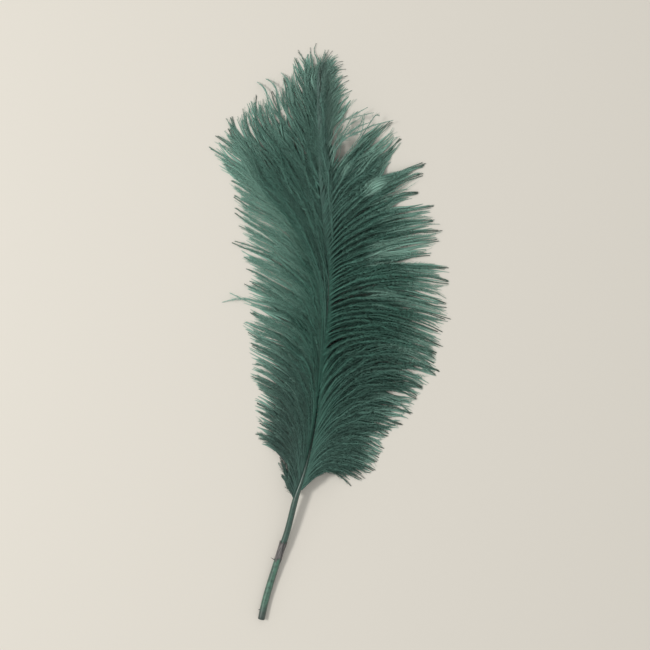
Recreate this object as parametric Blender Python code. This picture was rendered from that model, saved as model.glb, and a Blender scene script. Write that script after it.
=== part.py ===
"""An ostrich plume lying on a flat surface, quill towards -Y and tip towards +Y.

The shaft is a tapered quill that lies on its cut end, rises to carry the vanes and droops again
towards the tip. On each side of it the barbs hang together in ridged locks, side by side in one
vane, and end in separate points. Shaft and vanes grew as one piece, so they are one solid.
"""

import math
import random

import bmesh
import bpy
from mathutils import Vector

MM = 0.001

# ---------------------------------------------------------------- driving dimensions, millimetres
# Places are measured from the quill's cut end. The origin is on the flat that the quill lies on.
ORIGIN_FROM_CUT_END = (1.2, 5.0)

# The shaft's centre line: across, along, height above the surface, and its diameter there.
SHAFT_STATIONS = (
    (0.0, 0.0, 1.75, 3.9),
    (3.2, 13.7, 1.75, 4.0),
    (9.9, 35.3, 3.3, 3.8),
    (14.7, 49.6, 4.8, 3.5),
    (19.4, 68.0, 6.8, 3.4),
    (24.5, 83.7, 8.6, 3.0),
    (29.7, 107.8, 11.0, 2.7),
    (33.4, 140.8, 13.0, 2.4),
    (37.4, 177.8, 14.0, 2.2),
    (37.4, 202.4, 13.8, 2.0),
    (34.6, 251.2, 11.0, 1.6),
    (33.0, 304.0, 6.0, 1.2),
    (33.4, 313.0, 5.0, 0.9),
)
RINGS_PER_STATION = 2
SHAFT_SIDES = 10
TANGENT_STEP = 0.05  # of a station, each way, for the shaft's direction
SEARCH_STEPS = 30
SHEATH_START = 34.4  # along the shaft, where the dry sheath still clings
SHEATH_END = 43.4
SHEATH_THICKNESS = 0.35
SHEATH_LEDGE = 0.4
SHEATH_CLEARANCE = 1.0  # no other ring comes nearer to the sheath than this
CALAMUS_WALL = 0.7  # the quill is a tube, open at its cut end
CALAMUS_DEPTH = 4.0
MERGE_DISTANCE = 1e-7  # metres, where the surface cuts the quill

# Each lock: where it leaves the shaft (along), its tip (across, along), and the way it points there,
# in degrees from +Y towards the outside of its vane. Both vanes run from the quill to the tip.
LEFT_LOCKS = (
    (71.5, 8.5, 81.0, 62),
    (72.2, 8.8, 90.5, 40),
    (73.0, 0.0, 98.5, 58),
    (73.8, -3.5, 103.5, 66),
    (74.8, -2.0, 109.0, 52),
    (76.0, -2.8, 115.0, 52),
    (77.5, -4.0, 121.5, 50),
    (80.0, -1.5, 128.0, 42),
    (83.0, -6.0, 136.0, 52),
    (87.0, -5.0, 143.5, 46),
    (91.5, -7.0, 153.5, 48),
    (96.5, -7.6, 161.0, 46),
    (101.0, -10.0, 166.5, 54),
    (105.5, -6.5, 171.5, 50),
    (110.0, -21.5, 179.5, 72),
    (116.0, -9.5, 189.5, 46),
    (122.5, -9.3, 197.0, 46),
    (129.0, -12.5, 203.5, 52),
    (136.0, -16.4, 211.5, 55),
    (144.0, -14.5, 220.0, 48),
    (152.0, -16.0, 228.5, 50),
    (161.0, -16.3, 237.0, 52),
    (170.0, -18.5, 246.5, 50),
    (180.0, -22.5, 254.0, 52),
    (190.0, -31.0, 264.0, 56),
    (199.0, -26.5, 270.0, 48),
    (208.0, -20.0, 274.5, 42),
    (217.0, -19.0, 281.5, 38),
    (227.0, -10.7, 287.0, 34),
    (237.0, -5.5, 293.5, 32),
    (246.5, -1.5, 301.0, 38),
    (255.5, 4.0, 304.0, 38),
    (265.0, 11.5, 307.5, 36),
    (274.5, 17.5, 315.5, 28),
    (284.0, 21.5, 319.0, 20),
    (293.0, 27.0, 321.5, 10),
    (302.0, 31.0, 322.8, 2),
)
RIGHT_LOCKS = (
    (71.0, 51.8, 72.5, 150),
    (74.0, 56.0, 78.5, 142),
    (77.0, 62.0, 82.0, 136),
    (80.0, 65.0, 88.5, 130),
    (83.5, 68.0, 94.5, 128),
    (87.0, 70.5, 102.0, 124),
    (91.0, 79.0, 108.0, 124),
    (95.0, 84.0, 114.5, 122),
    (99.5, 87.0, 122.0, 120),
    (104.5, 91.5, 130.5, 118),
    (110.5, 99.5, 137.5, 116),
    (122.0, 97.0, 142.5, 112),
    (135.0, 98.5, 147.0, 112),
    (145.0, 103.0, 152.0, 112),
    (152.0, 101.5, 160.0, 108),
    (158.5, 106.5, 167.5, 104),
    (164.5, 104.8, 176.5, 106),
    (170.0, 107.0, 187.5, 104),
    (175.0, 106.5, 197.5, 100),
    (179.5, 95.5, 204.0, 98),
    (184.0, 100.5, 211.5, 94),
    (188.5, 101.8, 218.5, 92),
    (193.0, 97.5, 225.0, 92),
    (198.0, 98.0, 233.0, 90),
    (203.0, 88.5, 238.5, 88),
    (208.0, 91.5, 249.0, 84),
    (213.5, 92.3, 256.5, 80),
    (220.0, 76.0, 260.5, 82),
    (227.0, 79.5, 269.0, 78),
    (234.5, 73.8, 278.5, 72),
    (242.0, 66.2, 282.0, 66),
    (250.0, 59.5, 286.5, 62),
    (258.5, 55.5, 291.5, 60),
    (267.5, 50.6, 297.0, 62),
    (276.5, 50.0, 302.5, 80),
    (285.0, 48.0, 307.0, 92),
    (292.0, 47.5, 311.5, 94),
    (298.5, 45.8, 316.5, 80),
    (305.0, 40.3, 318.5, 44),
)

# How the locks leave the shaft, and how far they hold their first and last directions, as shares of
# the straight distance from root to tip.
LEFT_LEAVE_ANGLE = 12.0
RIGHT_LEAVE_ANGLE = 28.0
ROOT_HANDLE = 0.48
TIP_HANDLE = 0.34

# Where a lock has its cross-sections. Up to the notch it is joined to its neighbours.
JOINED_SHARES = (0.0, 0.12, 0.26, 0.42, 0.58, 0.72)
NOTCH_SHARE = 0.82
FREE_SHARE = 0.92
FREE_WIDTH = 0.62  # of the width at the notch

# A vane's thickness along a lock's ridge, and between two locks.
RIDGE_THICKNESS = 3.2
GROOVE_THICKNESS = 0.9
THICKNESS_REACHED = 0.4  # share of the lock at which it has that thickness
NOTCH_THINNING = 0.4  # how far a ridge has thinned towards a groove at the notch
FULL_REACH = 50.0  # a lock this long has the full thickness and bulge
ROOT_THICKNESS_SHARE = 0.5  # of the shaft's diameter, so that every root is inside the shaft
ROOT_INSET = 0.12  # how far a root stays from the shaft's centre line
LAYER_STEP = 1.0  # every other lock lies this much higher

# The vanes bulge above the shaft and come down to the surface at their tips.
LEFT_BULGE = 3.0
RIGHT_BULGE = 8.0
TIP_HEIGHT_RANGE = (1.0, 3.0)
RESTING_EVERY = 4  # the tip of every fourth lock lies on the surface

PLUME_GREEN = (0.055, 0.160, 0.115, 1.0)
PLUME_ROUGHNESS = 0.75
SEED = 7


# ---------------------------------------------------------------------------------- curve helpers
def mix(low, high, share):
    return low + (high - low) * share


def smooth(share):
    share = min(max(share, 0.0), 1.0)
    return share * share * (3.0 - 2.0 * share)


def spline(points, position):
    """A smooth curve through the points. position runs from 0 to len(points) - 1."""
    last = len(points) - 1
    index = min(int(position), last - 1)
    share = position - index
    before = points[max(index - 1, 0)]
    start = points[index]
    end = points[index + 1]
    after = points[min(index + 2, last)]
    found = []
    for a, b, c, d in zip(before, start, end, after):
        slope_in = (c - a) / 2.0
        slope_out = (d - b) / 2.0
        cubic = 2.0 * b - 2.0 * c + slope_in + slope_out
        square = -3.0 * b + 3.0 * c - 2.0 * slope_in - slope_out
        found.append(((cubic * share + square) * share + slope_in) * share + b)
    return found


def bezier(points, share):
    """A point on the curve that four points give."""
    rest = 1.0 - share
    weights = (rest**3, 3.0 * rest**2 * share, 3.0 * rest * share**2, share**3)
    return sum((point * weight for point, weight in zip(points, weights)), Vector((0, 0, 0)))


def shaft_at(along):
    """The shaft's centre, direction and diameter where it has come this far along +Y."""
    low = 0.0
    high = len(SHAFT_STATIONS) - 1.0
    for _ in range(SEARCH_STEPS):
        middle = (low + high) / 2.0
        if spline(SHAFT_STATIONS, middle)[1] < along:
            low = middle
        else:
            high = middle
    here = spline(SHAFT_STATIONS, low)
    ahead = spline(SHAFT_STATIONS, min(low + TANGENT_STEP, len(SHAFT_STATIONS) - 1.0))
    behind = spline(SHAFT_STATIONS, max(low - TANGENT_STEP, 0.0))
    direction = Vector(ahead[:3]) - Vector(behind[:3])
    return Vector(here[:3]), direction.normalized(), here[3]


# ------------------------------------------------------------------------------------------ shaft
def ring_of(mesh, centre, direction, radius):
    """A ring of points square to the direction, with a side facing straight down."""
    sideways = direction.cross(Vector((0.0, 0.0, 1.0))).normalized()
    upwards = sideways.cross(direction).normalized()
    ring = []
    for side in range(SHAFT_SIDES):
        turn = math.tau * (side + 0.5) / SHAFT_SIDES
        offset = sideways * (radius * math.sin(turn)) - upwards * (radius * math.cos(turn))
        ring.append(mesh.verts.new((centre + offset) * MM))
    return ring


def bridge(mesh, lower, upper):
    """Faces all round between two rings."""
    count = len(lower)
    for side in range(count):
        after = (side + 1) % count
        mesh.faces.new((lower[side], lower[after], upper[after], upper[side]))


def shaft_profile():
    """Positions along the shaft and the radius at each, with the sheath as a ledge."""
    profile = []
    for step in range((len(SHAFT_STATIONS) - 1) * RINGS_PER_STATION + 1):
        _, along, _, diameter = spline(SHAFT_STATIONS, step / RINGS_PER_STATION)
        if not SHEATH_START - SHEATH_CLEARANCE < along < SHEATH_END + SHEATH_CLEARANCE:
            profile.append((along, diameter / 2.0))
    for along, extra in (
        (SHEATH_START - SHEATH_LEDGE, 0.0),
        (SHEATH_START, SHEATH_THICKNESS),
        (SHEATH_END, SHEATH_THICKNESS),
        (SHEATH_END + SHEATH_LEDGE, 0.0),
    ):
        profile.append((along, shaft_at(along)[2] / 2.0 + extra))
    return sorted(profile)


def make_shaft(name):
    """The quill and the shaft in one tube, open at the cut end and flat where it rests."""
    mesh = bmesh.new()
    rings = []
    for along, radius in shaft_profile():
        centre, direction, _ = shaft_at(along)
        rings.append(ring_of(mesh, centre, direction, radius))
    for lower, upper in zip(rings, rings[1:]):
        bridge(mesh, lower, upper)
    mesh.faces.new(rings[-1])

    centre, direction, diameter = shaft_at(0.0)
    bore = diameter / 2.0 - CALAMUS_WALL
    rim = ring_of(mesh, centre, direction, bore)
    bottom = ring_of(mesh, shaft_at(CALAMUS_DEPTH)[0], direction, bore)
    bridge(mesh, rim, rings[0])
    bridge(mesh, bottom, rim)
    mesh.faces.new(bottom)
    rest_on_surface(mesh)
    bmesh.ops.recalc_face_normals(mesh, faces=mesh.faces)
    return object_from(mesh, name)


def rest_on_surface(mesh):
    """Cuts away what would lie under the surface and closes the cut with a flat face."""
    cut = bmesh.ops.bisect_plane(
        mesh,
        geom=mesh.verts[:] + mesh.edges[:] + mesh.faces[:],
        dist=MERGE_DISTANCE,
        plane_co=(0.0, 0.0, 0.0),
        plane_no=(0.0, 0.0, -1.0),
        clear_outer=True,
    )
    edges = [item for item in cut["geom_cut"] if isinstance(item, bmesh.types.BMEdge)]
    bmesh.ops.holes_fill(mesh, edges=edges)


# ------------------------------------------------------------------------------------------ vanes
def heading(side, angle):
    """The level direction at this angle from +Y: side is -1 for the left vane, 1 for the right."""
    return Vector((side * math.sin(math.radians(angle)), math.cos(math.radians(angle)), 0.0))


def lock_path(side, lock, leave_angle, bulge, tip_height):
    """A function from 0 at the root to 1 at the tip, giving a point on the lock's middle line."""
    root_along, tip_across, tip_along, tip_angle = lock
    root, shaft_direction, _ = shaft_at(root_along)
    root.x += side * ROOT_INSET
    shaft_angle = math.degrees(math.atan2(shaft_direction.x, shaft_direction.y))
    tip = Vector((tip_across, tip_along, tip_height))
    reach = (tip - root).length
    first = root + heading(side, leave_angle + side * shaft_angle) * (reach * ROOT_HANDLE)
    second = tip - heading(side, tip_angle) * (reach * TIP_HANDLE)
    first.z = root.z + bulge
    second.z = mix(tip.z, root.z, 0.5) + bulge
    points = (root, first, second, tip)
    return lambda share: bezier(points, share)


def fullness(lock):
    """How far a lock is from a short wisp, 0, to a full one, 1."""
    root = shaft_at(lock[0])[0]
    return min(math.hypot(lock[1] - root.x, lock[2] - root.y) / FULL_REACH, 1.0)


def vane_paths(side, locks, leave_angle, bulge, variation):
    """The middle line of each lock in a vane, from the quill's end of the vane to the tip."""
    paths = []
    for index, lock in enumerate(locks):
        tip_height = variation.uniform(*TIP_HEIGHT_RANGE)
        if index % RESTING_EVERY == 0:
            tip_height = 0.0
        lift = (bulge + LAYER_STEP * (index % 2)) * fullness(lock)
        paths.append(lock_path(side, lock, leave_angle, lift, tip_height))
    return paths


def pair_of_points(mesh, centre, thickness):
    """Two points, one above the other, neither of them under the surface."""
    top = mesh.verts.new((centre + Vector((0.0, 0.0, thickness / 2.0))) * MM)
    bottom = mesh.verts.new((centre - Vector((0.0, 0.0, thickness / 2.0))) * MM)
    bottom.co.z = max(bottom.co.z, 0.0)
    return top, bottom


def thickness_at(share, root_thickness, full):
    return mix(root_thickness, full, smooth(share / THICKNESS_REACHED))


def groove_line(mesh, lower_path, upper_path, root_thickness):
    """The pairs of points between two locks, ending in the single point of their notch."""
    line = []
    for share in JOINED_SHARES:
        centre = (lower_path(share) + upper_path(share)) / 2.0
        thickness = thickness_at(share, root_thickness, GROOVE_THICKNESS)
        line.append(pair_of_points(mesh, centre, thickness))
    notch = mesh.verts.new((lower_path(NOTCH_SHARE) + upper_path(NOTCH_SHARE)) / 2.0 * MM)
    return line + [(notch, notch)]


def outer_line(mesh, path, other_path):
    """The free side of the first or last lock: single points, half a lock away from its ridge."""
    root = mesh.verts.new(path(0.0) * MM)
    line = [(root, root)]
    for share in JOINED_SHARES[1:] + (NOTCH_SHARE,):
        spread = (path(share) - other_path(share)) / 2.0
        spread.z = 0.0
        point = mesh.verts.new((path(share) + spread) * MM)
        line.append((point, point))
    return line


def ridge_line(mesh, path, root_thickness, ridge_thickness):
    """The pairs of points along the middle of a lock, as far as its notches."""
    line = []
    for share in JOINED_SHARES:
        thickness = thickness_at(share, root_thickness, ridge_thickness)
        line.append(pair_of_points(mesh, path(share), thickness))
    last_thickness = mix(ridge_thickness, GROOVE_THICKNESS, NOTCH_THINNING)
    return line + [pair_of_points(mesh, path(NOTCH_SHARE), last_thickness)]


def face_between(mesh, corners):
    """A face through the corners, leaving out a corner that repeats."""
    distinct = list(dict.fromkeys(corners))
    if len(distinct) > 2:
        mesh.faces.new(distinct)


def join_lines(mesh, groove, ridge):
    """The upper and lower skin between a groove and a ridge, and the strip that closes the root."""
    for step in range(len(ridge) - 1):
        for level in (0, 1):
            corners = (
                groove[step][level],
                ridge[step][level],
                ridge[step + 1][level],
                groove[step + 1][level],
            )
            face_between(mesh, corners)
    face_between(mesh, (groove[0][0], ridge[0][0], ridge[0][1], groove[0][1]))


def add_free_point(mesh, path, lower_notch, ridge_end, upper_notch):
    """The part of a lock past its notches, down to its point."""
    top, bottom = ridge_end
    base = (lower_notch, top, upper_notch, bottom)
    shift = path(FREE_SHARE) - path(NOTCH_SHARE)
    middle = path(NOTCH_SHARE) * MM
    ring = []
    for corner in base:
        offset = (corner.co - middle) * FREE_WIDTH
        point = mesh.verts.new(middle + shift * MM + offset)
        point.co.z = max(point.co.z, 0.0)
        ring.append(point)
    tip = mesh.verts.new(path(1.0) * MM)
    for corner in range(4):
        after = (corner + 1) % 4
        mesh.faces.new((base[corner], base[after], ring[after], ring[corner]))
        mesh.faces.new((ring[corner], ring[after], tip))


def make_vane(name, side, locks, leave_angle, bulge, variation):
    """One side's locks: a ridged sheet, thick along each lock, that ends in separate points."""
    mesh = bmesh.new()
    paths = vane_paths(side, locks, leave_angle, bulge, variation)
    roots = [shaft_at(lock[0])[2] * ROOT_THICKNESS_SHARE for lock in locks]
    grooves = [outer_line(mesh, paths[0], paths[1])]
    for lower, upper, root_thickness in zip(paths, paths[1:], roots[1:]):
        grooves.append(groove_line(mesh, lower, upper, root_thickness))
    grooves.append(outer_line(mesh, paths[-1], paths[-2]))
    for lock, path, root, lower, upper in zip(locks, paths, roots, grooves, grooves[1:]):
        ridge_thickness = mix(GROOVE_THICKNESS, RIDGE_THICKNESS, fullness(lock))
        ridge = ridge_line(mesh, path, root, ridge_thickness)
        join_lines(mesh, lower, ridge)
        join_lines(mesh, upper, ridge)
        add_free_point(mesh, path, lower[-1][0], ridge[-1], upper[-1][0])
    bmesh.ops.recalc_face_normals(mesh, faces=mesh.faces)
    vane = object_from(mesh, name)
    vane.hide_render = True
    vane.display_type = "WIRE"
    return vane


# ------------------------------------------------------------------------------------------ plume
def object_from(mesh, name):
    data = bpy.data.meshes.new(name)
    mesh.to_mesh(data)
    mesh.free()
    made = bpy.data.objects.new(name, data)
    made.location = (-ORIGIN_FROM_CUT_END[0] * MM, -ORIGIN_FROM_CUT_END[1] * MM, 0.0)
    bpy.context.scene.collection.objects.link(made)
    return made


def plume_material():
    material = bpy.data.materials.new("dyed_plume")
    material.use_nodes = True
    shader = material.node_tree.nodes["Principled BSDF"]
    shader.inputs["Base Color"].default_value = PLUME_GREEN
    shader.inputs["Roughness"].default_value = PLUME_ROUGHNESS
    shader.inputs["Metallic"].default_value = 0.0
    material.diffuse_color = PLUME_GREEN
    return material


def fuse(feather, vanes):
    """Joins the vanes to the shaft, whose material the whole solid has."""
    for vane in vanes:
        union = feather.modifiers.new("fuse_" + vane.name, "BOOLEAN")
        union.operation = "UNION"
        union.object = vane
        union.solver = "EXACT"


def clear_scene():
    for old in list(bpy.data.objects):
        bpy.data.objects.remove(old)


def main():
    clear_scene()
    variation = random.Random(SEED)
    feather = make_shaft("feather")
    feather.data.materials.append(plume_material())
    left = make_vane("left_vane", -1, LEFT_LOCKS, LEFT_LEAVE_ANGLE, LEFT_BULGE, variation)
    right = make_vane("right_vane", 1, RIGHT_LOCKS, RIGHT_LEAVE_ANGLE, RIGHT_BULGE, variation)
    fuse(feather, (left, right))


main()
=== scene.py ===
import math

import bpy
import mathutils
import numpy as np
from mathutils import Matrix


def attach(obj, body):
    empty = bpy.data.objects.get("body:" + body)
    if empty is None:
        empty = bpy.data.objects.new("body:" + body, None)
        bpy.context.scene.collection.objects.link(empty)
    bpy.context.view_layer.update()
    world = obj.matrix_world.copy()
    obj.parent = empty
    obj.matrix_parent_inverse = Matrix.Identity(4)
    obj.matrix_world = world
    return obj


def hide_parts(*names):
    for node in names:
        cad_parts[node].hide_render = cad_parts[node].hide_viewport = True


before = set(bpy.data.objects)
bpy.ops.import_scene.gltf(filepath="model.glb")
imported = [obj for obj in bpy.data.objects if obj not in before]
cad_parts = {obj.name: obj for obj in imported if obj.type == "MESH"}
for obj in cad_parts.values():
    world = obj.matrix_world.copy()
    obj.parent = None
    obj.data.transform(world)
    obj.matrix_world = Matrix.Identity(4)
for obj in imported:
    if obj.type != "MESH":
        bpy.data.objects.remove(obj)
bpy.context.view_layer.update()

mm = 0.001
print("frame loaded")

# Tables are in millimetres from the quill's cut end, across the picture and along it, but for the stage.
# The frame's origin lies on the flat that the quill rests on, this far from the cut end.
originFromCutEnd = np.array((1.2, 5.0, 0.0))


# small helpers for numbers and curves

rippleWaves = 5


def mix(low, high, share):
    return low + (high - low) * share


def smoothStep(share):
    share = np.clip(share, 0.0, 1.0)
    return share * share * (3.0 - 2.0 * share)


def ease(shares, start, over):
    # 0 up to start, then smoothly up to 1 over this much more
    return smoothStep((shares - start) / over)


def between(shares, start, opens, end, closes):
    # 1 between start and end, eased in after the one and out before the other
    return ease(shares, start, opens) * (1.0 - smoothStep((shares - end + closes) / closes))


def inTurn(values, shares, secondAt, third):
    # from the first value to the second by this share, then to the third from its start, over so much
    return mix(mix(values[0], values[1], smoothStep(shares / secondAt)), values[2], ease(shares, *third))


def unit(vectors):
    return vectors / np.linalg.norm(vectors, axis=-1, keepdims=True)


def spline(points, position):
    # a smooth curve through the points, where position runs from 0 to len - 1
    points = np.asarray(points, float)
    position = np.asarray(position, float)
    last = len(points) - 1
    index = np.clip(position.astype(int), 0, last - 1)
    share = (position - index)[..., None]
    before, start = points[np.maximum(index - 1, 0)], points[index]
    end, after = points[index + 1], points[np.minimum(index + 2, last)]
    slopeIn = (end - before) / 2.0
    slopeOut = (after - start) / 2.0
    cubic = 2.0 * start - 2.0 * end + slopeIn + slopeOut
    square = -3.0 * start + 3.0 * end - 2.0 * slopeIn - slopeOut
    return ((cubic * share + square) * share + slopeIn) * share + start


def heading(side, angle):
    # level directions at these degrees from +Y, outwards on this side
    turn = np.radians(angle)
    return np.stack([side * np.sin(turn), np.cos(turn), np.zeros_like(turn)], -1)


def ripple(rng, across, along, turns):
    # a smooth random field, with at most this many turns for one step across and one along
    total = 0.0
    for _ in range(rippleWaves):
        acrossTurns = rng.uniform(-turns[0], turns[0])
        alongTurns = rng.uniform(-turns[1], turns[1])
        total = total + np.sin(math.tau * (across * acrossTurns + along * alongTurns + rng.uniform()))
    return total / rippleWaves


def lengthsOf(rows):
    # how long the line is through each row of points
    return np.linalg.norm(np.diff(rows, axis=1), axis=2).sum(1)


def alongStep(rows, row, position):
    # values read between the steps of each chosen row
    last = rows.shape[1] - 1
    index = np.clip(position.astype(int), 0, last - 1)
    share = position - index
    if rows.ndim == 3:
        share = share[:, None]
    return mix(rows[row, index], rows[row, index + 1], share)


# the shaft that both vanes grow from

shaft = {
    # across, along, height of its centre, diameter
    "stations": (
        (0, 0, 1.75, 3.9), (3.2, 13.7, 1.75, 4), (9.9, 35.3, 3.3, 3.8), (14.7, 49.6, 4.8, 3.5),
        (19.4, 68, 6.8, 3.4), (24.5, 83.7, 8.6, 3), (29.7, 107.8, 11, 2.7), (33.4, 140.8, 13, 2.4),
        (37.4, 177.8, 14, 2.2), (37.4, 202.4, 13.8, 2), (34.6, 251.2, 11, 1.6), (33, 304, 6, 1.2),
        (33.4, 313, 5, 0.9),
    ),
    "samples": 400,
}
shaftLine = spline(shaft["stations"], np.linspace(0.0, len(shaft["stations"]) - 1.0, shaft["samples"]))
shaftSlope = np.gradient(shaftLine[:, 0], shaftLine[:, 1])


def shaftAt(along):
    # centre, degrees from +Y, and diameter where the shaft has come this far
    along = np.asarray(along, float)
    across, height, diameter = (np.interp(along, shaftLine[:, 1], shaftLine[:, i]) for i in (0, 2, 3))
    lean = np.degrees(np.arctan(np.interp(along, shaftLine[:, 1], shaftSlope)))
    return np.stack([across, along, height], -1), lean, diameter


# the two vanes

leftVane = {
    "name": "left",
    "pieces": 4,      # how many pieces the upper coat is split in
    "side": -1,
    "seed": 11,
    "apart": 1.15,    # room that each barb takes among the locks
    "bundle": 3,      # about so many barbs make a ridge
    "gather": 0.6,    # how far a lock's barbs draw together at their tips
    # along the shaft: how high the longest barbs bulge
    "bulge": ((71, 3), (220, 3), (260, 2), (305, 1.5)),
    # how far in from the tips the locks part, and how much shorter a lock's outer barbs are,
    # then the same for single gaps and single locks
    "notch": 7.0,
    "valley": 3.0,
    "deepNotches": {0: 8, 1: 3, 2: 5, 3: 1.5, 4: 1.5, 5: 1.5, 6: 1.5, 7: 2, 8: 2.5, 9: 3, 10: 3.5, 11: 4,
                    12: 4, 13: 5, 14: 6, 28: 5, 29: 5, 30: 5},
    "deepValleys": {0: 6, 1: 1, 2: 3, 3: 0.5, 4: 0, 5: 0, 6: 0, 7: 0, 8: 0, 9: 0.5, 10: 1, 11: 1, 12: 1,
                    13: 2, 14: 16, 20: 2, 21: 2, 22: 2, 24: 7, 33: 9, 34: 8, 35: 9, 36: 8, 37: 6},
    # along the shaft: between which shares the barbs turn pale, painted light standing in for light that
    # comes through the thin fuzz from the pale floor
    "fringe": ((71, 0.7, 1.1), (88, 0.66, 1.08), (104, 0.54, 0.98), (122, 0.46, 0.92), (132, 0.58, 1),
               (150, 0.64, 1.1), (220, 0.52, 1.05), (305, 0.15, 0.9)),
    # how much earlier at most that starts between two locks, how pale short barbs end,
    # and the share of the barbs that is short
    "paleGap": 0.1,
    "paleEnds": 0.55,
    "shortShare": 0.32,
    # partings: middle, from share, to share, half the width in locks, whether the under coat parts too
    "partings": (),
    # pale patches of painted light that lift gaps and shaded places: middle, from share, to share, half the
    # width in locks, how pale
    "patches": ((14.2, 0.76, 1.2, 0.7, 1), (17.3, 0.8, 1.2, 0.5, 0.9), (12.2, 0.84, 1.2, 0.35, 0.8),
                (19.6, 0.85, 1.2, 0.3, 0.6), (23.5, 0.55, 1.2, 0.7, 0.4)),
    # between these locks, the share of the upper coat's barbs that is there
    "thin": ((1.15, 1.85, 0), (13.6, 14.55, 0.5), (35, 37, 0.6)),
    # between these locks, how far the under coat reaches, times its usual reach
    "under": ((1.15, 1.85, 0.45), (2.6, 12, 1.08), (13.6, 14.55, 0.95), (35, 37, 0.85)),
    # between these locks and shares of the barb, the share of the barbules that is there
    "bare": (),
    # along the shaft: degrees that barbs leave it at, length of the root handle, of the tip handle, how far
    # off the shaft's middle they start in shaft diameters, length of the barbules at their tips, waviness
    "flow": ((71, 42, 0.42, 0.3, 0.4, 2, 0.5), (76, 20, 0.5, 0.38, 0.4, 2.4, 0.7),
             (90, 2, 0.64, 0.46, 0.34, 3, 1), (105, 0, 0.7, 0.46, 0.2, 3.4, 2.2),
             (125, 0, 0.66, 0.4, 0.1, 3, 2.8), (140, -2, 0.56, 0.28, -0.3, 2, 3.8),
             (160, -3, 0.52, 0.22, -0.8, 1.4, 4.4), (200, -2, 0.48, 0.24, -1.2, 1, 3.6),
             (305, 0, 0.42, 0.3, -0.6, 0.8, 1.2)),
    # along the shaft: how light the barbs are near it, halfway out and at their tips, partly their own tone
    # and partly painted light that lifts places in their own shadow, how grey, and how much their ridges
    # near the shaft stand out
    "light": ((71, 0.42, 0.42, 0.48, 0.5, 0.1), (80, 0.4, 0.44, 0.52, 0.4, 0.2),
              (92, 0.3, 0.5, 0.64, 0.1, 0.4), (105, 0.22, 0.56, 0.78, 0, 0.4),
              (118, 0.22, 0.57, 0.94, 0, 0.5), (128, 0.22, 0.57, 0.88, 0, 0.5),
              (145, 0.3, 0.6, 0.72, 0.15, 0.6), (165, 0.38, 0.68, 0.8, 0.2, 0.6),
              (220, 0.5, 0.72, 0.88, 0.4, 0.5), (260, 0.62, 0.84, 0.98, 0.4, 0.4),
              (305, 0.9, 1.1, 1.2, 0.45, 0.3)),
    # along the shaft: how thick the barbs are past their roots, times their usual thickness
    "thickness": ((71, 1), (138, 1), (153, 0.6), (305, 0.5)),
    # leaves the shaft at, tip across, tip along, angle of the tip from +Y outwards
    "locks": (
        (68.5, 8.5, 81, 50), (71, 8.8, 90.5, 40), (74.2, -3.5, 100.3, 74), (75.2, -3.5, 103.5, 76),
        (76, -2, 109, 66), (76.9, -2.8, 115, 66), (78, -4, 121.5, 66), (79.4, -1.5, 128, 62),
        (81.4, -6, 136, 68), (84, -5, 143.5, 66), (87.5, -7, 153.5, 66), (90.5, -7.6, 161, 62),
        (93, -10, 166.5, 66), (95.5, -6.5, 171.5, 66), (97.5, -20.5, 183.5, 76), (99.5, -9.5, 189.5, 62),
        (101.5, -9.3, 197, 62), (103.5, -12.5, 203.5, 64), (106, -16.4, 211.5, 64), (109, -14.5, 220, 64),
        (112, -16, 228.5, 62), (115.5, -16.3, 237, 62), (119.5, -18.5, 246.5, 60), (124, -22.5, 254, 58),
        (128.5, -31, 264, 56), (132.5, -26.5, 270, 44), (137, -20, 274.5, 28), (142, -19, 281.5, 14),
        (147.5, -10.7, 287, 4), (153.5, -5.5, 293.5, 6), (160.5, 0.4, 291.5, 8), (168.5, 5.4, 295.8, 8),
        (178.5, 12.2, 303, 14), (191, 17.5, 315.5, 20), (208, 21.5, 319, 12), (229, 27, 321.5, 4),
        (254, 31, 322.8, 0), (285, 34.5, 320.5, -6),
    ),
}

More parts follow.
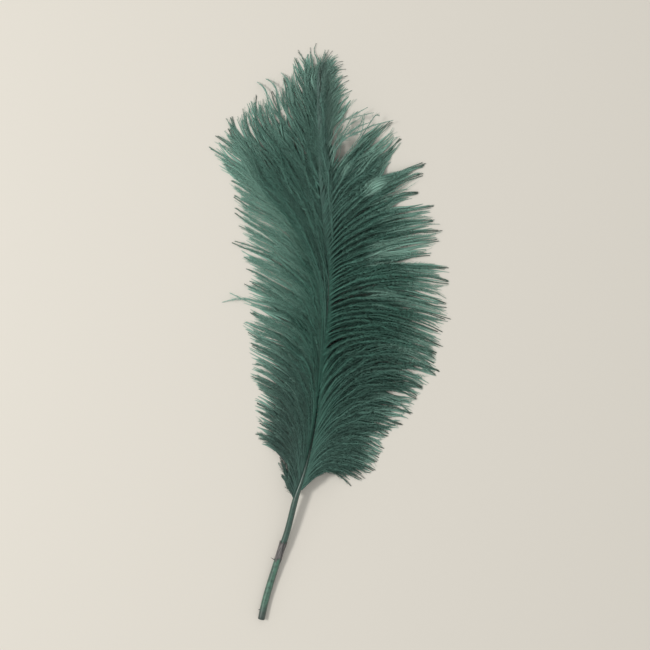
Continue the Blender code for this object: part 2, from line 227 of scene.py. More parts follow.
rightVane = {
    "name": "right",
    "pieces": 4,
    "side": 1,
    "seed": 12,
    "apart": 0.95,
    "bundle": 5,
    "gather": 0.65,
    "bulge": ((71, 4.5), (222, 4.5), (240, 2), (260, 0.5), (305, 0)),
    "notch": 5.0,
    "valley": 1.0,
    "deepNotches": {0: 18, 19: 20, 24: 7, 25: 18, 26: 3.5, 27: 8, 31: 20, 32: 20, 33: 16, 35: 8, 36: 8,
                    37: 8, 38: 8, 39: 8},
    "deepValleys": {0: 6, 10: 2, 11: 2, 19: 3, 20: 3, 24: 2.5, 25: 5, 26: 1.5, 27: 2, 28: 7, 33: 3, 34: 4,
                    35: 4.5, 36: 4.5, 37: 4.5, 38: 4.5, 39: 4.5},
    "fringe": ((71, 0.88, 1.1), (118, 0.88, 1.08), (200, 0.82, 1), (215, 0.6, 0.95), (305, 0.5, 0.95)),
    "paleGap": 0.35,
    "paleEnds": 0.25,
    "shortShare": 0.15,
    "partings": ((19.5, 0.7, 1.1, 0.4, False), (20.6, 0.52, 1.1, 0.35, False),
                 (24.5, 0.66, 1.1, 0.4, True), (27.5, 0.66, 1.1, 0.42, True),
                 (26.9, 0.46, 0.72, 0.65, False), (31.3, 0.4, 1.1, 0.5, True)),
    "patches": ((21.5, 0.46, 0.98, 0.35, 0.9), (20.7, 0.46, 0.98, 0.5, 1), (19.6, 0.46, 1.1, 0.4, 1),
                (22.3, 0.64, 1.1, 0.25, 0.8), (24.5, 0.62, 0.92, 0.3, 0.9), (23.7, 0.55, 0.95, 0.2, 0.7),
                (16.8, 0.42, 0.76, 0.3, 0.6), (15.9, 0.48, 0.66, 0.15, 0.5), (10.6, 0.6, 0.95, 0.2, 0.5),
                (12.5, 0.7, 1, 0.2, 0.5), (30, 0.3, 0.52, 0.3, 0.8), (31.8, 0.38, 1.1, 1.8, 0.7),
                (26.9, 0.44, 0.72, 0.8, 1), (36.6, 0.2, 0.9, 4.5, 0.55), (33.4, 0.4, 1.1, 1, 0.8)),
    "thin": ((19.2, 19.85, 0.35), (25.25, 25.8, 0.4), (30.4, 33.2, 0.14), (36, 38.5, 0.8),
             (38.5, 40, 0.5)),
    "under": ((2, 13, 1.06), (13, 19, 1.04), (19.1, 19.9, 0.8), (20, 25, 1.03), (25.2, 25.9, 0.85),
              (30.4, 33.2, 0.44), (38.5, 40, 0.85)),
    "bare": ((26, 27.9, 0.44, 0.74, 0.2), (30.4, 33.6, 0.35, 1.01, 0.25), (36, 40, 0.4, 1.01, 0.45),
             (28, 30.4, 0.7, 1.01, 0.6)),
    "flow": ((73, 26, 0.62, 0.62, 0.4, 1.2, 0.3), (78, 15, 0.56, 0.44, 0.4, 1.4, 0.5),
             (90, 18, 0.52, 0.4, 0.38, 1.6, 1.6), (118, 12, 0.48, 0.44, 0.3, 2, 2.2),
             (138, 14, 0.36, 0.48, 0.2, 2, 1.8), (150, 34, 0.2, 0.56, 0.2, 2, 1.2),
             (165, 50, 0.16, 0.6, 0.2, 2, 0.9), (188, 48, 0.18, 0.58, 0.1, 1.8, 0.9),
             (204, 40, 0.24, 0.46, -0.2, 1.5, 0.7), (216, 30, 0.34, 0.34, -0.7, 0.9, 1.2),
             (240, 18, 0.4, 0.34, -1.4, 0.7, 1.4), (305, 10, 0.42, 0.36, -1.4, 0.6, 0.8)),
    "light": ((71, 0.68, 0.68, 0.54, 0.4, 0.1), (90, 0.6, 0.66, 0.55, 0.3, 0.15),
              (118, 0.4, 0.42, 0.48, 0.1, 0.3), (145, 0.36, 0.4, 0.5, 0, 0.7),
              (160, 0.32, 0.42, 0.5, 0, 1), (190, 0.32, 0.54, 0.62, 0.05, 0.9),
              (212, 0.34, 0.68, 0.84, 0.2, 0.7), (235, 0.5, 1, 1.08, 0.4, 0.4),
              (262, 0.85, 1.3, 1.25, 0.8, 0.3), (305, 1.1, 1.3, 1.2, 1, 0.3)),
    "thickness": ((71, 1), (218, 1), (235, 0.8), (265, 0.55), (305, 0.5)),
    "locks": (
        (73, 51.8, 72.5, 138), (75.5, 58.5, 78, 120), (78.5, 63.5, 82, 114), (81, 67, 88, 114),
        (84, 69, 94, 116), (87, 72, 102.5, 108), (91, 80.5, 109, 104), (95, 85, 116, 106),
        (99.5, 88, 124, 116), (105, 91.5, 130.5, 108), (112, 99.5, 137.5, 116), (124, 97, 142.5, 116),
        (136, 98, 145.5, 118), (150, 98.5, 147, 118), (159, 103, 152, 114), (165, 101.5, 160, 114),
        (170, 106.5, 167.5, 106), (175, 104.8, 176.5, 108), (180, 107, 187.5, 104),
        (184.5, 106.5, 197.5, 94), (188, 95.5, 204, 88), (192, 100.5, 211.5, 80), (196, 101.8, 218.5, 86),
        (199.5, 97.5, 223.5, 86), (203, 98, 232.5, 82), (206, 88.5, 236.5, 82), (209.5, 91.5, 249, 74),
        (213, 92.3, 256.4, 66), (218, 73.5, 262.5, 28), (220.5, 79.5, 269, 40), (225, 73.8, 278.5, 54),
        (231, 66.2, 282, 58), (237, 59.5, 286.5, 52), (243, 55.5, 291.5, 50), (250, 50.6, 297, 58),
        (257, 50, 302.5, 76), (264, 48, 307, 88), (271, 47.5, 311.5, 90), (279, 45.8, 316.5, 72),
        (288, 40.3, 318.5, 40), (300, 36, 319.5, 8),
    ),
}

barb = {
    "steps": 19,
    # the room that a lock has, and more for each millimetre between tips and between roots
    "room": (2.0, 0.55, 0.35),
    "jitter": 0.35,
    "fullReach": 50.0,     # barbs this long bulge in full
    "tipHeight": (0.3, 0.8),
    "lowest": 0.25,
    # how far from their curve's end most barbs stop, and the short ones
    "usual": (0.0, 2.5),
    "short": (4.0, 40.0),
    "leastReach": 0.35,
    # how far from a lock's middle barbs still reach its tip, and where they lie wholly beside it
    "tipShare": (0.15, 0.6),
    "tipFluff": 0.6,       # length of the barbules at that tip
    # below, Soon is how many times sooner than its tip a barb has something in full, Fade how fast that
    # is lost again, and Start and End the share of the barb where it begins or ends, and over how much more
    # ridges near the shaft: how many barbs more or fewer, how far they draw together and rise, and how much
    # painted light and shade they take, lighter crests over darker grooves
    "bundleSpread": 2,
    "ridgePull": 0.85,
    "ridgeSoon": 9.0,
    "ridgeEnd": (0.40, 0.35),
    "ridgeRise": 0.8,
    "riseSoon": 6.0,
    "riseFade": 1.5,
    "ridgeRound": 1.5,     # the higher, the flatter on top
    "ridgeShade": 0.42,
    "ridgeShadeEnd": (0.45, 0.35),
    # how far pairs draw together, and how much notches differ
    "pairPull": 0.5,
    "pairStart": (0.5, 0.3),
    "notchSpread": (0.7, 1.4),
    # sideways waves across the locks and along the barb, and how far tips stray
    "waves": ((1.0, 3.5), (5.0, 4.5)),
    "waveSoon": 2.0,
    "tipSpread": 0.7,
    "tipSpreadStart": (0.4, 0.6),
    # how far barbs lie over and under each other
    "layer": 0.9,
    "layerSoon": 3.0,
    "layerFade": 1.3,
    "layerSpread": 0.8,
    "layerWaves": (6.0, 4.5),
    "layerWaveHeight": 1.6,
    "flatLayer": 0.45,     # where there are no ridges
    "dropSoon": 5.0,
    # where barbs are as light as they are halfway out, and where they turn as light as at their tips
    "lightHalfway": 0.5,
    "lightTipStart": (0.5, 0.5),
    # lighter and darker clouds, painted shade on layers, lower barbs darker and higher ones lighter, and
    # single barbs
    "clouds": (3.0, 3.0),
    "cloudShade": 0.14,
    "layerShade": 0.10,
    "ownShade": 0.05,
    # over how much of the barb partings open and close, and pale patches begin and end
    "partingOpens": 0.2,
    "partingCloses": 0.15,
    "patchEdge": 0.1,
    "patchSide": 2.0,      # the higher, the sharper its sides
    # which barbs are short enough for pale ends, and how much of an earlier paleness its end follows
    "shortBelow": 0.93,
    "paleEndStart": (0.7, 0.3),
    "earlierEnd": 0.5,
    # how much painted pale light barbules take inside and at a lock's tip, how much ribs take,
    # and where the ribs that reach a tip turn grey
    "leastFringe": 0.1,
    "tipFringe": 0.45,
    "ribFringe": 0.8,
    "ribGreyStart": (0.45, 0.4),
    "roll": 0.45,
}


def valuesAt(vane, table, place):
    # every column of one of the vane's tables but the first, for places among the locks
    along, *columns = np.array(vane[table], float).T
    roots = np.array(vane["locks"], float)[:, 0]
    numbers = np.arange(len(roots))
    return [np.interp(place, numbers, np.interp(roots, along, column)) for column in columns]


def lockCurves(vane, rng):
    # four control points for the middle line of each lock
    locks = np.array(vane["locks"], float)
    numbers = np.arange(len(locks))
    side = vane["side"]
    root, lean, diameter = shaftAt(locks[:, 0])
    leave, rootHandle, tipHandle, inset, *_ = valuesAt(vane, "flow", numbers)
    # roots stand on the shaft's round upper side
    root[:, 0] += side * diameter * inset
    root[:, 2] += diameter * np.sqrt(np.maximum(0.25 - inset**2, 0.0))
    height = rng.uniform(*barb["tipHeight"], len(locks))
    tip = np.column_stack([locks[:, 1], locks[:, 2], height])
    reach = np.linalg.norm(tip - root, axis=1)
    bulge = valuesAt(vane, "bulge", numbers)[0] * np.minimum(reach / barb["fullReach"], 1.0)
    first = root + heading(side, leave + side * lean) * (reach * rootHandle)[:, None]
    second = tip - heading(side, locks[:, 3]) * (reach * tipHandle)[:, None]
    first[:, 2] = root[:, 2] + bulge
    return np.stack([root, first, second, tip], 1)


def fanPoints(curves, place, shares):
    # points on curves between the locks, for places and shares of the same shape
    low = np.clip(place.astype(int), 0, len(curves) - 2)
    controls = mix(curves[low], curves[low + 1], (place - low)[..., None, None])
    share = shares[..., None]
    rest = 1.0 - share
    weights = (rest**3, 3.0 * rest**2 * share, 3.0 * rest * share**2, share**3)
    return sum(weight * controls[..., i, :] for i, weight in enumerate(weights))


def placesOf(vane, coat, rng):
    # where barbs stand among the locks: as many as the room at their roots and tips asks for
    locks = np.array(vane["locks"], float)
    least, perTip, perRoot = barb["room"]
    tipsApart = np.linalg.norm(np.diff(locks[:, 1:3], axis=0), axis=1)
    room = least + perTip * tipsApart + perRoot * np.diff(locks[:, 0])
    filled = np.concatenate([[0.0], np.cumsum(room)])
    count = int(filled[-1] / vane["apart"] * coat["share"])
    spots = np.arange(count) + 0.5 + rng.uniform(-barb["jitter"], barb["jitter"], count)
    place = np.interp(spots / count * filled[-1], filled, np.arange(len(locks)))
    keep = np.ones(count, bool)
    thin = () if coat["isUnder"] else vane["thin"]
    for start, end, kept in thin:
        keep &= (place < start) | (place > end) | (rng.uniform(size=count) < kept)
    return place[keep]


def groupMiddles(place, sizes):
    # the middle of each barb's group, and how far off it the barb is
    groups = np.repeat(np.arange(len(place)), sizes)[:len(place)]
    middle = (np.bincount(groups, place) / np.bincount(groups))[groups]
    widest = np.zeros(groups[-1] + 1)
    np.maximum.at(widest, groups, np.abs(place - middle))
    return middle, (place - middle) / np.maximum(widest[groups], 0.001)


def gatheredPlaces(vane, coat, place, shares, span, rng):
    # barbs draw together: in ridges near the shaft, in pairs and then in locks towards their tips
    fewest = max(vane["bundle"] - barb["bundleSpread"], 2)
    most = vane["bundle"] + barb["bundleSpread"]
    sizes = rng.integers(fewest, most + 1, len(place))
    ridge, off = groupMiddles(place, sizes)
    pair, _ = groupMiddles(place, np.full(len(place), 2))
    notches = vane["notch"] * rng.uniform(*barb["notchSpread"], len(vane["locks"]))
    for gap, depth in vane["deepNotches"].items():
        notches[gap] = depth
    notch = notches[np.clip(place.astype(int), 0, len(notches) - 2)][:, None]
    column = place[:, None]
    inner = smoothStep(shares * barb["ridgeSoon"]) * (1.0 - ease(shares, *barb["ridgeEnd"]))
    outer = smoothStep(1.0 - (1.0 - shares) * span[:, None] / notch)
    *_, ridges = valuesAt(vane, "light", column)
    placed = column + (ridge - place)[:, None] * (barb["ridgePull"] * ridges) * inner
    placed = placed + (pair - place)[:, None] * barb["pairPull"] * ease(shares, *barb["pairStart"])
    placed = placed + (np.rint(column) - placed) * vane["gather"] * coat["gather"] * outer
    for middle, start, end, width, through in vane["partings"]:
        if coat["isUnder"] and not through:
            continue
        opened = between(shares, start, barb["partingOpens"], end, barb["partingCloses"])
        push = np.sign(column - middle) * width * opened
        placed = placed + push * np.maximum(1.0 - np.abs(placed - middle), 0.0)
    return np.clip(placed, 0.0, len(vane["locks"]) - 1.0), off


def reachOf(vane, place, span, away, rng):
    # a lock's outer barbs end before its tip, and some barbs end well inside the vane
    valleys = vane["valley"] * np.ones(len(vane["locks"]))
    for lock, depth in vane["deepValleys"].items():
        valleys[lock] = depth
    count = len(place)
    missing = rng.uniform(*barb["usual"], count)
    isShort = rng.uniform(size=count) < vane["shortShare"]
    missing = np.where(isShort, rng.uniform(*barb["short"], count), missing)
    missing = missing + valleys[np.rint(place).astype(int)] * away
    return np.maximum(1.0 - missing / span, barb["leastReach"])


def underReachOf(vane, place, span, rng):
    # the under coat ends before the tips
    reach = 1.0 - underCoat["missing"] * rng.uniform(*underCoat["missingSpread"], len(place)) / span
    for start, end, factor in vane["under"]:
        reach = np.where((place > start) & (place < end), np.minimum(reach * factor, 1.0), reach)
    return reach


# widths near the shaft, outside and at the tip, for barbs that reach a lock's tip and for those beside them
topCoat = {
    "isUnder": False,
    "share": 1.0,
    "gather": 1.0,
    "drop": 0.0,
    "darker": 0.0,
    "tipWidths": (0.7, 0.55, 0.5),
    "sideWidths": (0.6, 0.24, 0.1),
    "overlap": 0.0,
    "widest": 0.0,
    "spacing": 0.46,
}
underCoat = {
    "isUnder": True,
    "share": 0.9,
    "gather": 0.15,
    "drop": 1.2,           # below the upper coat
    # painted shade: the under coat is darker for lying below the upper coat
    "darker": 0.06,
    "tipWidths": (1.0, 1.0, 0.2),
    "sideWidths": (1.0, 1.0, 0.2),
    "overlap": 1.3,        # width for the gap to the next barb, up to the widest
    "widest": 2.4,
    "spacing": 0.0,        # no barbules
    "missing": 5.0,
    "missingSpread": (0.8, 1.8),
}


def vaneShape(vane, coat, rng):
    # every barb of a vane as a row of points, with what its looks depend on
    curves = lockCurves(vane, rng)
    place = placesOf(vane, coat, rng)
    count = len(place)
    span = np.interp(place, np.arange(len(curves)), lengthsOf(curves))
    if coat["isUnder"]:
        away = np.ones(count)
        reach = underReachOf(vane, place, span, rng)
    else:
        low, high = barb["tipShare"]
        away = ease(np.abs(place - np.rint(place)) * 2.0, low, high - low)
        reach = reachOf(vane, place, span, away, rng)
    shares = np.linspace(0.0, 1.0, barb["steps"])[None] * reach[:, None]
    placed, off = gatheredPlaces(vane, coat, place, shares, span, rng)
    points = fanPoints(curves, placed, shares)

    # sideways waves that neighbours share, and some of each barb's own
    column = place[:, None]
    tangent = np.gradient(points, axis=1)
    across = unit(np.stack([tangent[..., 1], -tangent[..., 0], np.zeros_like(tangent[..., 0])], -1))
    *_, waviness = valuesAt(vane, "flow", column)
    wave = sum(ripple(rng, column, shares, turns) for turns in barb["waves"]) * waviness
    stray = rng.normal(0.0, barb["tipSpread"], count)[:, None]
    wave = wave + stray * ease(shares, *barb["tipSpreadStart"])
    points += across * (wave * smoothStep(shares * barb["waveSoon"]))[..., None]

    # ridges stand over the grooves between them, and barbs lie over and under each other
    crest = (0.5 - np.abs(off)[:, None] ** barb["ridgeRound"]) * smoothStep(shares * barb["riseSoon"])
    layer = rng.uniform(-barb["layerSpread"], barb["layerSpread"], count)[:, None]
    layer = layer + ripple(rng, column, shares, barb["layerWaves"]) * barb["layerWaveHeight"]
    points[..., 2] += crest * barb["ridgeRise"] * (1.0 - shares) ** barb["riseFade"]
    *_, ridges = valuesAt(vane, "light", column)
    relief = barb["layer"] * mix(barb["flatLayer"], 1.0, ridges)
    lasting = smoothStep(shares * barb["layerSoon"]) * (1.0 - shares) ** barb["layerFade"]
    points[..., 2] += layer * relief * lasting
    points[..., 2] -= coat["drop"] * smoothStep(shares * barb["dropSoon"])
    points[..., 2] = np.maximum(points[..., 2], barb["lowest"])
    return place, away, reach, shares, points, crest, layer


def patchesOf(vane, coat, column, shares, reach):
    # how pale the barbs are with painted light in patches, and at their ends
    patch = np.zeros_like(shares)
    for middle, start, end, width, amount in vane["patches"]:
        near = 1.0 - np.abs(column - middle) / width
        along = between(shares, start, barb["patchEdge"], end, barb["patchEdge"])
        patch = np.maximum(patch, amount * along * smoothStep(near * barb["patchSide"]))
    if not coat["isUnder"]:
        ends = ease(shares / reach[:, None], *barb["paleEndStart"]) * (reach < barb["shortBelow"])[:, None]
        patch = np.maximum(patch, vane["paleEnds"] * ends)
    return patch


def vaneField(vane, coat):
    # the barbs of a vane, with their looks at each point
    rng = np.random.default_rng(vane["seed"])
    place, away, reach, shares, points, crest, layer = vaneShape(vane, coat, rng)
    column = place[:, None]
    aside = away[:, None]

    *light, grey, ridges = valuesAt(vane, "light", column)
    shade = inTurn(light, shares, barb["lightHalfway"], barb["lightTipStart"])
    # painted light and shade: ridge crests lighter, the grooves between them darker
    shade = shade + barb["ridgeShade"] * ridges * crest * (1.0 - ease(shares, *barb["ridgeShadeEnd"]))
    shade = shade + barb["cloudShade"] * ripple(rng, column, shares, barb["clouds"])
    # painted shade: barbs lying lower are darker, higher ones lighter
    shade = shade + barb["layerShade"] * layer * (1.0 - shares)
    # each barb's own random tone, less the coat's painted shade
    shade = shade + rng.normal(0.0, barb["ownShade"], len(place))[:, None] - coat["darker"]

    # painted light: barbs turn pale towards the vane's edge, standing in for light through the thin fuzz
    paleFrom, paleTo = valuesAt(vane, "fringe", column)
    earlier = rng.uniform(0.0, vane["paleGap"], len(vane["locks"]))[place.astype(int)][:, None] * aside
    paleFrom = paleFrom - earlier
    fringe = ease(shares, paleFrom, paleTo - earlier * barb["earlierEnd"] - paleFrom)
    pale = mix(barb["leastFringe"], 1.0, fringe)
    patch = patchesOf(vane, coat, column, shares, reach)
    fluff = np.ones_like(shares)
    for start, end, low, high, kept in vane["bare"]:
        fluff[(column > start) & (column < end) & (shares > low) & (shares < high)] = kept
    widths = mix(np.array(coat["tipWidths"]), np.array(coat["sideWidths"]), aside)
    widths[:, 1:] *= valuesAt(vane, "thickness", column)[0]
    *_, tipFluff, _ = valuesAt(vane, "flow", place)
    return {
        "points": points,
        "shares": shares,
        "shade": shade,
        "grey": grey + np.zeros_like(shares),
        "ribGrey": ease(shares, *barb["ribGreyStart"]) * (1.0 - aside) * (1.0 - patch),
        "fringe": np.maximum(pale * mix(barb["tipFringe"], 1.0, aside), patch),
        "ribFringe": np.maximum(fringe * aside, patch) * barb["ribFringe"],
        "fluff": fluff,
        "widths": widths,
        "apart": np.minimum(coat["overlap"] * spread(points), coat["widest"]),
        "tipFluff": tipFluff * mix(barb["tipFluff"], 1.0, away),
        "roll": rng.normal(0.0, barb["roll"], len(place)),
        "rng": rng,
    }


def spread(points):
    # how far apart neighbouring barbs run at each step
    ahead = unit(np.gradient(points, axis=1))[1:]
    gaps = np.linalg.norm(np.cross(np.diff(points, axis=0), ahead), axis=-1)
    gaps = np.concatenate([gaps[:1], gaps, gaps[-1:]])
    return np.maximum(gaps[1:], gaps[:-1])


def part(field, chosen):
    # the chosen rows of a field
    return {key: value if key == "rng" else value[chosen] for key, value in field.items()}


# a barb's rib, and the barbules on it

rib = {
    "height": 0.4,         # at most
    "flatness": 0.45,      # height for its width
    "keel": 1.4,           # depth below for height above
    # how soon it has its width near the shaft, and where that ends
    "innerSoon": 8.0,
    "innerEnd": (0.2, 0.35),
    "taper": 5,
    "uvHalf": 0.06,
}

barbule = {
    "width": (0.28, 0.15),     # where it is green, where it is pale
    # lengths near the shaft and halfway out, where they are reached and left, and their spread
    "length": (1.6, 4.2),
    "fullLengthAt": 0.35,
    "tipFluffStart": (0.6, 0.35),
    "lengthSpread": (0.6, 1.25),
    "lastShorter": 0.4,
    "lastStart": (0.9, 0.1),
    # degrees from the barb near the shaft, halfway out and at its tip, and below level
    "angle": (16.0, 22.0, 28.0),
    "halfwayAt": 0.4,
    "farStart": (0.6, 0.4),
    "angleSpread": 13.0,
    "droop": (-20.0, 40.0),
    "least": 3,                # on each side of a barb
    "towardsTip": 0.55,        # the lower, the more of them stand near the barb's tip
    "last": 0.97,
    "lowest": 0.1,
    "rootFringe": 0.6,         # how pale its root is for its tip
    "uvAcross": (0.04, 0.10, 0.07, 0.45),
    "uvAlong": (0.0, 0.0, 0.004, 0.03),
}

uvReach = 0.96    # how far up the UV map barbs reach


def framesAlong(field):
    # directions ahead, sideways and upwards at each point
    points = field["points"]
    ahead = unit(np.gradient(points, axis=1))
    level = unit(np.cross(ahead, (0.0, 0.0, 1.0)))
    above = np.cross(level, ahead)
    turn = field["roll"][:, None, None]
    return ahead, level * np.cos(turn) + above * np.sin(turn), above * np.cos(turn) - level * np.sin(turn)


def ribs(field):
    # a ridged strip for each barb, closed at both ends
    points = field["points"]
    count, steps, _ = points.shape
    _, sideways, upward = framesAlong(field)
    share = field["shares"]
    inner, outer, tip = (field["widths"][:, i][:, None] for i in range(3))
    nearShaft = smoothStep(share * rib["innerSoon"]) * (1.0 - ease(share, *rib["innerEnd"]))
    width = np.maximum(mix(outer, inner, nearShaft), field["apart"])
    width = mix(width, tip, np.linspace(0.0, 1.0, steps)[None] ** rib["taper"])
    half = (width / 2.0)[..., None]
    high = np.minimum(half * rib["flatness"], rib["height"] / 2.0)
    corners = np.stack(
        [points - sideways * half - upward * high, points + upward * high,
         points + sideways * half - upward * high, points - upward * high * rib["keel"]], 2)
    ring = np.arange(4)
    after = (ring + 1) % 4
    segment = np.concatenate([
        np.column_stack([ring, after, after + 4]), np.column_stack([ring, after + 4, ring + 4])])
    rootEnd = np.array([(0, 2, 1), (0, 3, 2)])
    tipEnd = rootEnd[:, ::-1] + 4 * (steps - 1)
    strip = np.concatenate([segment + 4 * step for step in range(steps - 1)] + [rootEnd, tipEnd])
    faces = strip[None] + (np.arange(count) * 4 * steps)[:, None, None]
    offset = np.array([-rib["uvHalf"], 0.0, rib["uvHalf"], 0.0])
    u = np.arange(count)[:, None, None] + 0.5 + offset + np.zeros((count, steps, 4))
    v = share[..., None] * uvReach + np.zeros(4)
    looks = {name: np.repeat(field[name].ravel(), 4) for name in ("shade", "grey", "ribGrey")}
    looks["fringe"] = np.repeat(field["ribFringe"].ravel(), 4)
    uv = np.column_stack([u.ravel() / count, v.ravel()])
    return corners.reshape(-1, 3), faces.reshape(-1, 3), uv, looks


def barbuleDirections(field, row, position, side, rng):
    # which way each barbule points, and which way is up from its barb
    steps = field["points"].shape[1]
    ahead, sideways, upward = (alongStep(rows, row, position * (steps - 1)) for rows in framesAlong(field))
    angle = inTurn(barbule["angle"], position, barbule["halfwayAt"], barbule["farStart"])
    angle = np.radians(angle + rng.normal(0.0, barbule["angleSpread"], len(row)))[:, None]
    droop = np.radians(rng.uniform(*barbule["droop"], len(row)))[:, None]
    away = sideways * side * np.cos(droop) - upward * np.sin(droop)
    return unit(ahead * np.cos(angle) + away * np.sin(angle)), upward


def barbules(field, spacing):
    # long thin closed spikes on both sides of every barb, closer together towards its tip
    rng = field["rng"]
    points = field["points"]
    count, steps, _ = points.shape
    number = np.maximum((lengthsOf(points) / spacing).astype(int), barbule["least"])
    row = np.repeat(np.arange(count), number)
    position = rng.uniform(0.0, 1.0, len(row)) ** barbule["towardsTip"] * barbule["last"]
    keep = rng.uniform(size=len(row)) < alongStep(field["fluff"], row, position * (steps - 1))
    row = np.tile(row[keep], 2)
    position = np.tile(position[keep], 2)
    side = np.repeat([-1.0, 1.0], len(row) // 2)[:, None]
    step = position * (steps - 1)

    lengths = (*barbule["length"], field["tipFluff"][row])
    size = inTurn(lengths, position, barbule["fullLengthAt"], barbule["tipFluffStart"])
    size = size * rng.uniform(*barbule["lengthSpread"], len(row))
    size = size * (1.0 - barbule["lastShorter"] * ease(position, *barbule["lastStart"]))
    direction, upward = barbuleDirections(field, row, position, side, rng)
    base = alongStep(points, row, step)
    tip = base + direction * size[:, None]
    tip[:, 2] = np.maximum(tip[:, 2], barbule["lowest"])
    outward = alongStep(field["fringe"], row, step)[:, None]
    flat = unit(np.cross(direction, upward)) * mix(*barbule["width"], outward) / 2.0
    ridge = np.cross(flat, direction)
    corners = np.stack([base - flat, base + flat, base + ridge, tip], 1)
    first, second, third = (corners[:, i] - corners[:, 0] for i in (1, 2, 3))
    turned = np.einsum("ij,ij->i", np.cross(first, second), third) > 0.0
    corners[turned] = corners[turned][:, (1, 0, 2, 3)]
    faces = np.array([(0, 1, 2), (0, 3, 1), (1, 3, 2), (2, 3, 0)])
    faces = faces[None] + (np.arange(len(row)) * 4)[:, None, None]

    u = (row + 0.5)[:, None] + side * np.array(barbule["uvAcross"])
    v = alongStep(field["shares"], row, step)[:, None] * uvReach + np.array(barbule["uvAlong"])
    looks = {name: np.repeat(alongStep(field[name], row, step), 4) for name in ("shade", "grey")}
    looks["fringe"] = (outward * np.array([barbule["rootFringe"]] * 3 + [1.0])).ravel()
    looks["ribGrey"] = np.zeros(4 * len(row))
    uv = np.column_stack([u.ravel() / count, v.ravel()])
    return corners.reshape(-1, 3), faces.reshape(-1, 3), uv, looks


def makePiece(name, parts, material):
    # one mesh of all the parts, in the frame's metres
    offsets = np.cumsum([0] + [len(made[0]) for made in parts[:-1]])
    points = (np.concatenate([made[0] for made in parts]) - originFromCutEnd) * mm
    faces = np.concatenate([made[1] + offset for made, offset in zip(parts, offsets)]).astype(np.int32)
    uv = np.concatenate([made[2] for made in parts])
    data = bpy.data.meshes.new(name)
    data.vertices.add(len(points))
    data.vertices.foreach_set("co", points.astype(np.float32).ravel())
    data.loops.add(3 * len(faces))
    data.loops.foreach_set("vertex_index", faces.ravel())
    data.polygons.add(len(faces))
    data.polygons.foreach_set("loop_start", np.arange(0, 3 * len(faces), 3, dtype=np.int32))
    data.update(calc_edges=True)
    layer = data.uv_layers.new(name="OFBake")
    layer.data.foreach_set("uv", uv[faces.ravel()].astype(np.float32).ravel())
    for look in parts[0][3]:
        values = np.concatenate([made[3][look] for made in parts])
        attribute = data.attributes.new(look, "FLOAT", "POINT")
        attribute.data.foreach_set("value", values.astype(np.float32))
    data.shade_smooth()
    data.materials.append(material)
    piece = bpy.data.objects.new(name, data)
    bpy.context.scene.collection.objects.link(piece)
    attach(piece, "root")
    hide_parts("feather")
    print(name, len(faces), "triangles")


def dressVane(vane, material):
    for coat, pieces, name in ((underCoat, 1, "under"), (topCoat, vane["pieces"], "barbs")):
        field = vaneField(vane, coat)
        length = lengthsOf(field["points"]).cumsum()
        group = np.minimum(length / length[-1] * pieces, pieces - 1).astype(int)
        for number in range(pieces):
            some = part(field, group == number)
            parts = [ribs(some)]
            if coat["spacing"]:
                parts.append(barbules(some, coat["spacing"]))
            makePiece(f"{vane['name']}_{name}_{number + 1}", parts, material)


# barbs that have come loose of the vanes

